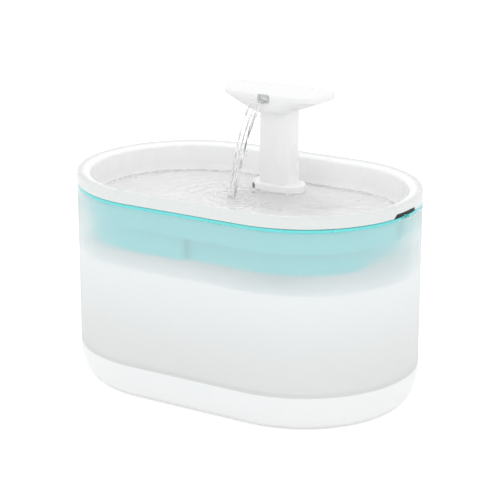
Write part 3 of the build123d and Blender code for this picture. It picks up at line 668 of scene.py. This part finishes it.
def far_edge(share):
    """The other edge. It spills over the mouth's end and comes in again as it falls."""
    share = max(share, 0.0)
    bow = 0.8 * MM * math.sin(math.pi * share)
    spill = 5.2 * MM * math.exp(-share / 0.34) * (1 - math.exp(-share / 0.04))
    return stream_half_width + bow + spill


def midway(share):
    return 0.5 * (near_edge(share) + far_edge(share))


def strand(edge, wide, thin, turns, seed):
    """A twisted thread of falling water that pulses as it falls and spreads where it lands."""
    rings, around = 160, 12
    inside_mouth = 0.02         # the share of its way by which it starts behind the mouth
    crowding = 0.65             # below 1 the rings lie closer towards the landing
    across = Vector((-heading.y, heading.x, 0))
    thread = []
    for r in range(rings + 1):
        share = (1 + inside_mouth) * (r / rings) ** crowding - inside_mouth
        here = thrown(share, edge(share))
        pulse = 0.6 * noise.noise(Vector((share * 14, seed, 0)))
        spread = 0.7 * math.exp((share - 1) / 0.03)
        swollen = 1 + pulse + spread
        turn = seed + turns * 2 * math.pi * share
        ring = []
        for a in range(around):
            angle = 2 * math.pi * a / around
            u, v = wide * swollen * math.cos(angle), thin * swollen * math.sin(angle)
            ring.append(here + heading * (u * math.cos(turn) - v * math.sin(turn))
                        + across * (u * math.sin(turn) + v * math.cos(turn)))
        thread.append(ring)
    return skin(thread)


def drop(middle, size):
    """A drop thrown off the stream, longer than it is wide."""
    ball = bmesh.new()
    bmesh.ops.create_icosphere(ball, subdivisions=2, radius=size)
    points = [middle + Vector((v.co.x, v.co.y, v.co.z * 1.5)) for v in ball.verts]
    ball.verts.index_update()
    faces = [[v.index for v in f.verts] for f in ball.faces]
    ball.free()
    return points, faces


def falling_water():
    """Two threads that close in on each other from the mouth's ends, the film between them, and drops."""
    chance = random.Random(4)
    drops = 12
    dark_height = mouth.z - 0.42 * (mouth.z - landing.z)     # the painted dark reflections are darkest here
    dark_spread = 9 * MM
    # each part, and how dark its painted reflections are
    parts = [(strand(near_edge, wide=1.0 * MM, thin=0.7 * MM, turns=2.6, seed=0.4), 1.0),
             (strand(far_edge, wide=0.85 * MM, thin=0.6 * MM, turns=1.9, seed=2.1), 0.75),
             (strand(midway, wide=1.3 * MM, thin=0.3 * MM, turns=0.2, seed=0.1), 0.15)]
    for _ in range(drops):
        share = chance.uniform(0.3, 0.99)
        off_near = near_edge(share) - chance.uniform(1.0, 2.4) * MM
        off_far = far_edge(share) + chance.uniform(1.0, 2.4) * MM
        middle = thrown(share, chance.choice((off_near, off_far)))
        size = chance.uniform(0.25, 0.5) * MM
        parts.append((drop(middle, size), 0.8))
    points, faces, shade = [], [], []
    for (own_points, own_faces), dark in parts:
        faces += [[k + len(points) for k in face] for face in own_faces]
        points += own_points
        shade += [dark * (0.45 + 0.55 * math.exp(-((p.z - dark_height) / dark_spread) ** 2))
                  for p in own_points]
    made = piece("water_stream", points, faces, stream_water(), "tray", ("shade", shade))
    made.visible_shadow = False
    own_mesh(made)


head_hull()
head_cap()
mouth_lining()
mouth_water()
overflow_port()
drinking_water()
falling_water()


# ------------------------------------------------------------------ floor, light, camera
def pale_floor():
    """A floor that is white to the eye and keeps the object's shadow."""
    reach = 4.0
    corners = [(-reach, -reach, 0), (reach, -reach, 0), (reach, reach, 0), (-reach, reach, 0)]
    floor = new_object("floor", new_mesh("floor", corners, [[0, 1, 2, 3]]))
    finish = Finish("pale_floor", Base_Color=(0.95, 0.95, 0.95), Roughness=0.8, Emission_Color=(1, 1, 1))
    finish.set({"Emission_Strength": finish.ray("Is Camera Ray") * 0.25 + 0.12})
    floor.data.materials.append(finish.material)


def white_surroundings():
    """White to the eye, in gloss and through clear pieces. It lights the object a shade less."""
    world = bpy.data.worlds.new("surroundings")
    bpy.context.scene.world = world
    world.use_nodes = True
    shader = Shader(world.node_tree)
    shader.tree.nodes.remove(shader.tree.nodes["Background"])
    seen = shader.ray("Is Camera Ray").at_least(shader.ray("Is Glossy Ray"))
    seen = seen.at_least(shader.ray("Is Transmission Ray"))
    light = shader.add("ShaderNodeBackground", {}, {"Color": (1, 1, 1), "Strength": 0.93})
    white = shader.add("ShaderNodeBackground", {}, {"Color": (1, 1, 1), "Strength": 1.0})
    both = shader.add("ShaderNodeMixShader", {}, {0: seen, 1: light, 2: white})
    shader.plug(shader.tree.nodes["World Output"].inputs["Surface"], both)


def aim(thing, place, target):
    thing.location = place
    thing.rotation_euler = (Vector(target) - Vector(place)).to_track_quat("-Z", "Y").to_euler()


def soft_lamp(name, place, size, watts):
    """A round lamp, aimed at the body's middle."""
    lamp = new_object(name, bpy.data.lights.new(name, "AREA"))
    lamp.data.shape = "DISK"
    lamp.data.size = size
    lamp.data.energy = watts
    aim(lamp, place, (0, 0, 0.09))


def eye():
    """A camera off the drinking side's right end, looking down on the tray."""
    camera = new_object("camera", bpy.data.cameras.new("camera"))
    camera.data.lens = 129.146
    camera.data.sensor_width = 36
    camera.data.shift_x = 0.0063
    camera.data.shift_y = -0.0031
    aim(camera, (0.5876, -0.9554, 0.4383), (0, 0, 0.09027))
    bpy.context.scene.camera = camera


pale_floor()
white_surroundings()
soft_lamp("key_lamp", place=(-0.30, 0.45, 1.45), size=0.22, watts=1.9)
soft_lamp("right_lamp", place=(1.3, -0.4, 0.8), size=1.0, watts=1.0)
soft_lamp("front_lamp", place=(-0.5, -1.3, 0.7), size=1.0, watts=1.0)
eye()
bpy.context.scene.view_settings.view_transform = "Standard"
